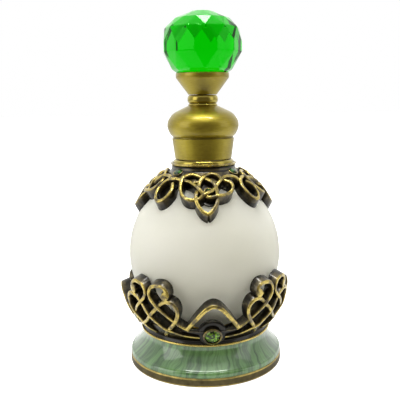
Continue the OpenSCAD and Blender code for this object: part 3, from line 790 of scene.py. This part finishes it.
# Lines as (distance right, distance down the slope, raise)
KNOT_RIGHT_LINE = [
    (-10.6, 3.3, 0), (-8.5, 3.5, -0.3), (-6.4, 4, -0.2), (-4.6, 5.3, 0.1), (-3.1, 7.3, 0.3), (-1.4, 9.3, -0.4),
    (0.6, 10.1, 0), (2.3, 9.9, 0.3), (4.4, 9.6, 0.1), (6.2, 9, 0), (7.4, 7.8, 0), (7.7, 6.2, 0), (7.1, 4.8, -0.1),
    (5.9, 3.9, -0.4), (4.2, 2.8, -0.4), (2.9, 1.6, 0), (1.3, 0.9, 0), (-0.4, 1.5, 0.1), (-1.6, 2.8, 0.3),
    (-2.5, 4.3, 0.1), (-3, 5.8, -0.2), (-3.5, 7.4, -0.4), (-4, 9.2, 0.3), (-4.2, 11, 0.3), (-3.6, 13, 0.1),
    (-2.4, 14.7, 0), (-0.8, 15.7, 0)]
KNOT_LEFT_LINE = [
    (-0.8, 15.7, 0), (0.5, 14.6, 0), (1.5, 13.2, 0), (2.1, 11.8, 0), (2.4, 10, -0.4), (2.4, 8.2, -0.2),
    (1.9, 6.2, 0.3), (1.2, 4.7, 0.2), (0, 3.4, 0), (-1.4, 2.5, -0.4), (-2.8, 1.7, -0.2), (-4.6, 1.2, 0),
    (-6.4, 1.8, 0), (-7.8, 3.1, 0.3), (-8.6, 5, 0.1), (-8.9, 7, 0), (-8.6, 9, 0), (-7.4, 10.5, 0), (-5.5, 11, -0.1),
    (-3.3, 10.4, -0.4), (-1.5, 9.2, 0.3), (0, 8.3, 0.1), (1.4, 7.3, -0.3), (2.4, 5.8, -0.2), (3.8, 4.1, 0.2),
    (5.1, 2.9, 0.3), (6.7, 2.5, 0.1), (8.3, 2.7, 0), (9.6, 3.4, 0), (10.8, 4.5, -0.1)]
LEAF_LINE = [
    (1.7, 3.4, 0.1), (0.3, 3.7, 0.1), (-1.1, 4.3, 0.1), (-2.3, 5.8, 0), (-2.9, 8, 0), (-2.4, 10.3, 0), (-1.2, 11.8, 0),
    (0.2, 12.2, 0), (1.6, 11.6, 0), (2.6, 10.1, 0), (2.9, 8.2, 0), (2.3, 6.5, -0.1), (1.2, 5.1, -0.4)]


def spread(azimuth):
    """The same turn to the right and left of the front knot, then of the back knot."""
    return [azimuth, 180 - azimuth, 180 + azimuth, -azimuth]


def slope_angle(w):
    """Angle from the vertical at a distance down the slope."""
    return math.radians(SLOPE_START) + w / SLOPE_R


def slope_at(w, sink):
    """Radius and height at a distance down the slope, sunk below the face."""
    reach = SLOPE_R - sink
    return SLOPE_CENTRE[0] + reach * math.sin(slope_angle(w)), SLOPE_CENTRE[1] + reach * math.cos(slope_angle(w))


def collar_place(centre):
    """Place function for strands round one centre line."""
    def place(along, w, lift, depth):
        face_r = slope_at(w, 0)[0]
        deep = depth * (DEEP_TOP + (DEEP_END - DEEP_TOP) * w / SLOPE_LEN)
        r, z = slope_at(w, -lift * (1 - depth / 2))
        r -= deep * math.sin(WALL_SLANT)
        a = math.radians(centre) + along / face_r
        return r * math.sin(a), -r * math.cos(a), z - deep * math.cos(WALL_SLANT)
    return place


def on_slope(azimuth, w, sink):
    """Place on the collar's slope, sunk below its face."""
    r, z = slope_at(w, sink)
    return face_out(azimuth, r, z, math.degrees(slope_angle(w)))


def slope_floor(azimuth, start, end, r, sink):
    """Floor behind a knot or a leaf, between two distances down the slope, kept dark: patina, and painted shade in the
    hole.
    """
    points = []
    for w in (start, end):
        at = on_slope(azimuth, w, sink + 0.7)
        for z in (0, 0.7):
            points += [at @ (Vector(p) / 1000) * 1000 for p in ring_points(r, z, 24)]
    return hulled("floor", points, openwork, wear_and_shade_value=-1, flat=3)


def make_collar():
    """Collar on the shoulder with its knots, leaves and stone seats."""
    hole_r = NECK_R + 0.4
    seat_r = RING_R + 0.1
    edge_r = 10.47
    shell = [(hole_r, RING_SEAT), (seat_r, RING_SEAT), (seat_r, COLLAR_TOP), (edge_r, COLLAR_TOP), (edge_r, 64.9),
             (10.1, 64.3), (10.3, 63.2), (11.6, 61.9), (13.3, 60.4), (12.8, 58.6), (9.4, 60.4), (hole_r, 61.6)]
    parts = [turned("collar_shell", shell, openwork, ease=0.2)]
    floor_r, knot_sink, leaf_sink = 2.4, 2.1, 2
    seat = [(0, -1.2), (0.7, -1.2), (0.35, 0.1), (0.05, 0.1), (0.05, -0.6), (0, -0.6)]
    for i, leaf_turn, stone_turn in zip(range(REPEATS), spread(LEAF_TURN), spread(LEAF_STONE_TURN)):
        knot_turn = i * TURN
        place = collar_place(knot_turn)
        parts.append(strand("knot_right", KNOT_RIGHT_LINE, place, STRAND_W, openwork))
        parts.append(strand("knot_left", KNOT_LEFT_LINE, place, STRAND_W, openwork))
        parts.append(slope_floor(knot_turn, 5, 9.6, floor_r, knot_sink))
        parts.append(strand("leaf", LEAF_LINE, collar_place(leaf_turn), STRAND_W, openwork))
        parts.append(slope_floor(leaf_turn, 5.6, 9.2, floor_r, leaf_sink))
        for stone, azimuth in ((KNOT_STONE, knot_turn), (LEAF_STONE, stone_turn)):
            half = stone["d"] / 2
            outline = [(half + r, z) if r else (0, z) for r, z in seat]
            cup = turned("stone_seat", outline, openwork, segments=32, ease=0.12)
            parts.append(moved(cup, on_slope(azimuth, stone["w"], stone["sink"])))
    collar = joined("collar_openwork", parts)
    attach(collar, "bottle")
    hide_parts("shoulder_collar")


def make_neck_ring():
    """Bright ring between the collar and the cap."""
    bore = NECK_R + 0.05
    outline = [(bore, RING_SEAT), (RING_R - 0.1, RING_SEAT), (RING_R, 65.2), (RING_R, 65.6), (RING_R - 0.15, 66),
               (RING_R - 0.5, RING_TOP), (bore, RING_TOP)]
    ring = turned("neck_band", outline, bright_brass, ease=0.12)
    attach(ring, "bottle")
    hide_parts("neck_ring")


# ---------- stones ----------


def cut_stone(name, d, sides, material):
    """Round cut stone: flat back, girdle, two rows of crown facets and a table."""
    r = d / 2
    points = ring_points(r * 0.96, -0.6, sides, 1) + ring_points(r, -0.12, sides, 1) + ring_points(r, 0, sides, 1)
    points += ring_points(r * 0.82, 0.11 * d, sides) + ring_points(r * 0.56, 0.18 * d, sides, 1)
    return hulled(name, points, material, sharp=5)


def make_stones():
    """Every stone, in the seats of the basket and the collar."""
    sides = ["front", "right", "back", "left"]
    at_arch = face_out(0, ARCH_STONE["r"] - 0.5, ARCH_STONE["z"], ARCH_STONE["lean"])
    at_knot = on_slope(0, KNOT_STONE["w"], KNOT_STONE["sink"])
    at_leaf = on_slope(0, LEAF_STONE["w"], LEAF_STONE["sink"])
    places = [(f"arch_stone_{side}", ARCH_STONE["d"], 12, peridot, "peridot", i * TURN, at_arch)
              for i, side in enumerate(sides)]
    places += [(f"knot_stone_{side}", KNOT_STONE["d"], 8, dark_stone, "dark_stone", i * TURN, at_knot)
               for i, side in enumerate(sides)]
    places += [(f"leaf_stone_{i + 1}", LEAF_STONE["d"], 8, dark_stone, "dark_stone", turn, at_leaf)
               for i, turn in enumerate(spread(LEAF_STONE_TURN))]
    for node, d, count, material, slot, azimuth, at in places:
        gem = moved(cut_stone(node + "_cut", d, count, material), about_axis(azimuth) @ at)
        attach(gem, "bottle")
        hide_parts(node)


# ---------- cap ----------


def make_cap_shell():
    """Cap with its skirt, step and dome."""
    insert_r = 8.15
    skirt_r = 9.05
    shoulder = 9.9
    step = 0.35
    skirt_top, roof_z, plate_z, head_room = 73, 80, 82, 4.1
    dome = smooth_line(
        [(shoulder - step, 73.4), (10, 73.8), (10.5, 74.4), (DOME_R - 0.35, 75.4), (DOME_R - 0.05, 76.4),
         (DOME_R, 77.3), (DOME_R - 0.15, 78.3), (DOME_R - 0.65, 79.3), (9.9, 80.3), (8.9, 81.1), (7.1, 82), (5.4, 82.8),
         (FINIAL_R, DOME_TOP)], 5)
    outline = [(insert_r, SKIRT_Z), (skirt_r - 0.1, SKIRT_Z), (skirt_r, SKIRT_Z + 0.15),
               (shoulder, skirt_top), (shoulder - step, skirt_top + 0.15)] + dome
    outline += [(STUD_R, DOME_TOP), (STUD_R, plate_z), (head_room, plate_z), (head_room, 81.2), (insert_r, roof_z)]
    shell = turned("cap_turning", outline, satin_brass, ease=0.12)
    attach(shell, "cap")
    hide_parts("cap_shell")


def make_finial_bead():
    """Bead between the cap and the cup."""
    bead_r, bulge, half_h = 4.85, 0.9, 1.4
    groove = 0.55
    middle = (DOME_TOP + groove + CUP_Z) / 2
    ball = [(bead_r - bulge + bulge * math.cos(math.radians(a)), middle + half_h * math.sin(math.radians(a)))
            for a in range(-70, 71, 10)]
    outline = [(STUD_R, DOME_TOP), (FINIAL_R, DOME_TOP), (FINIAL_R + 0.1, DOME_TOP + 0.25),
               (FINIAL_R - 0.1, DOME_TOP + groove)] + ball + [(STUD_R, CUP_Z)]
    bead = turned("bead_turning", outline, bright_brass, ease=0.08)
    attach(bead, "cap")
    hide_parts("finial_bead")


def make_finial_cup():
    """Cup that holds the knob."""
    stud_top, seat_r, mouth_r, floor_z = 89.4, 6, 7.9, 91.2
    outline = [(0, stud_top), (STUD_R, stud_top), (STUD_R, CUP_Z), (FINIAL_R, CUP_Z), (FINIAL_R + 0.1, CUP_Z + 0.25),
               (CUP_R - 0.15, 91.6), (CUP_R, 91.9), (CUP_R + 0.05, 92.6), (CUP_R, CUP_TOP - 0.2),
               (CUP_R - 0.2, CUP_TOP), (mouth_r, CUP_TOP), (seat_r, floor_z), (0, floor_z)]
    cup = turned("cup_turning", outline, satin_brass, ease=0.12)
    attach(cup, "cap")
    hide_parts("finial_cup")


def make_knob():
    """Faceted knob: the hull of rings of corners, with softened edges."""
    # Rings of corners as (radius, height, half steps turned)
    rings = [(5.6, KNOB_LOW, 1), (7.75, CUP_TOP, 0), (9.5, 94.4, 0), (KNOB_R, 99.6, 1), (KNOB_R, 102.6, 1),
             (11.7, 106.9, 0), (8.6, 109.8, 1), (3.2, KNOB_TOP, 0)]
    corners = [p for r, z, half in rings for p in ring_points(r, z, KNOB_FACETS, half)]
    knob = hulled("knob_crystal", corners, green_crystal, sharp=5)
    edge_w = 0.26
    softened(knob, edge_w, segments=2, angle=6)
    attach(knob, "cap")
    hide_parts("crystal_knob")


# ---------- pieces kept as the CAD has them ----------


def finish_cad_nodes():
    """Materials for the pieces whose meshes stay the CAD's own."""
    finishes = {"base_pad": felt, "seal_wad": wad_foam, "dabber_holder": white_plastic, "dabber_rod": clear_glass,
                "threaded_insert": white_plastic, "finial_stud": steel}
    for node, material in finishes.items():
        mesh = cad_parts[node].data
        mesh.materials.clear()
        mesh.materials.append(material)


# ---------- camera, floor and light ----------


def make_camera():
    """Camera in front of the bottle, a little above it."""
    data = bpy.data.cameras.new("camera")
    data.sensor_width = 36
    data.lens = 54.53  # focal length, in mm
    data.clip_start = 0.01
    data.clip_end = 20
    camera = bpy.data.objects.new("camera", data)
    bpy.context.scene.collection.objects.link(camera)
    azimuth, look_down, lean = -5, 9.466, -0.745
    turn, tip, roll = (math.radians(a) for a in (azimuth, 90 - look_down, lean))
    place = Matrix.Translation(Vector((-1.27, -194.35, 85.24)) / 1000)
    camera.matrix_world = (Matrix.Rotation(turn, 4, "Z") @ place @ Matrix.Rotation(tip, 4, "X")
                           @ Matrix.Rotation(roll, 4, "Z"))
    bpy.context.scene.camera = camera


def make_floor():
    """Floor that starts in front of the bottle, so that metal reflects a dark front."""
    half = 3000
    front = -60
    corners = [(-half, front, 0), (half, front, 0), (half, half, 0), (-half, half, 0)]
    material, tree, shader = new_finish("pale floor", Base_Color=(0.8, 0.8, 0.8, 1), Roughness=0.9)
    shader.inputs["Emission Color"].default_value = (1, 1, 1, 1)
    glow, seen_glow = 0.1, 0.9
    seen = add(tree, "ShaderNodeLightPath").outputs["Is Camera Ray"]
    tree.links.new(ranged(tree, seen, 0.0, 1.0, glow, seen_glow), shader.inputs["Emission Strength"])
    floor = new_piece("floor", corners, [[0, 1, 2, 3]], material)
    floor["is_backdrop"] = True


def make_panel(name, azimuth, elevation, distance, width, height, power):
    """Soft light panel that faces the bottle's middle. Distances are in mm."""
    data = bpy.data.lights.new(name, "AREA")
    data.shape = "RECTANGLE"
    data.size = width / 1000
    data.size_y = height / 1000
    data.energy = power
    light = bpy.data.objects.new(name, data)
    bpy.context.scene.collection.objects.link(light)
    a, e = math.radians(azimuth), math.radians(elevation)
    away = Vector((math.sin(a) * math.cos(e), -math.cos(a) * math.cos(e), math.sin(e)))
    middle = Vector((0, 0, 0.055))
    light.location = middle + away * distance / 1000
    light.rotation_euler = away.to_track_quat("Z", "Y").to_euler()


def make_world():
    """White room, darker in front where the camera stands, and pure white where the camera sees it."""
    world = bpy.data.worlds.new("studio")
    world.use_nodes = True
    tree = world.node_tree
    bpy.context.scene.world = world
    side_tone, back_tone = (0.6, 0.6, 0.59, 1), (1.15, 1.15, 1.13, 1)
    front_tone, seen_tone = (0.22, 0.195, 0.14, 1), (1, 1, 1, 1)
    through_share = 0.45
    way = add(tree, "ShaderNodeTexCoord").outputs["Generated"]
    split = add(tree, "ShaderNodeSeparateXYZ", {0: way}).outputs
    in_front = ranged(tree, split[1], -0.8, -0.25, 1.0, 0.0)
    level = ranged(tree, split[2], 0.4, 0.8, 1.0, 0.0)
    light_path = add(tree, "ShaderNodeLightPath").outputs
    through = ranged(tree, light_path["Is Transmission Ray"], 0.0, 1.0, 1.0, through_share)
    shade = maths(tree, "MULTIPLY", maths(tree, "MULTIPLY", in_front, level), through)
    behind = ranged(tree, split[1], -0.1, 0.7, 0.0, 1.0)
    room = mixed(tree, behind, side_tone, back_tone)
    room = mixed(tree, shade, room, front_tone)
    seen = mixed(tree, light_path["Is Camera Ray"], room, seen_tone)
    tree.links.new(seen, tree.nodes["Background"].inputs["Color"])


# Soft lights: name, azimuth, elevation, distance, width, height and power
PANELS = [
    ("left panel", -68, 16, 500, 300, 420, 0.75), ("right panel", 66, 16, 500, 240, 420, 0.3),
    ("top panel", 0, 80, 500, 500, 500, 0.4), ("crown panel", -8, 102, 420, 110, 110, 0.7),
    ("strip panel", -5, 73, 420, 320, 28, 1.0)]


def make_studio():
    """Camera, floor, room and lights."""
    make_camera()
    make_floor()
    make_world()
    for panel in PANELS:
        make_panel(*panel)
    settings = bpy.context.scene.view_settings
    settings.view_transform = "Standard"
    settings.look = "None"


make_studio()
make_foot()
make_enamel()
make_globe()
make_neck_thread()
make_basket()
make_collar()
make_neck_ring()
make_stones()
make_cap_shell()
make_finial_bead()
make_finial_cup()
make_knob()
finish_cad_nodes()

boxes = {"cad": cad_bounds, "visual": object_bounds()}
{name: [list(corner) for corner in box] for name, box in boxes.items()}
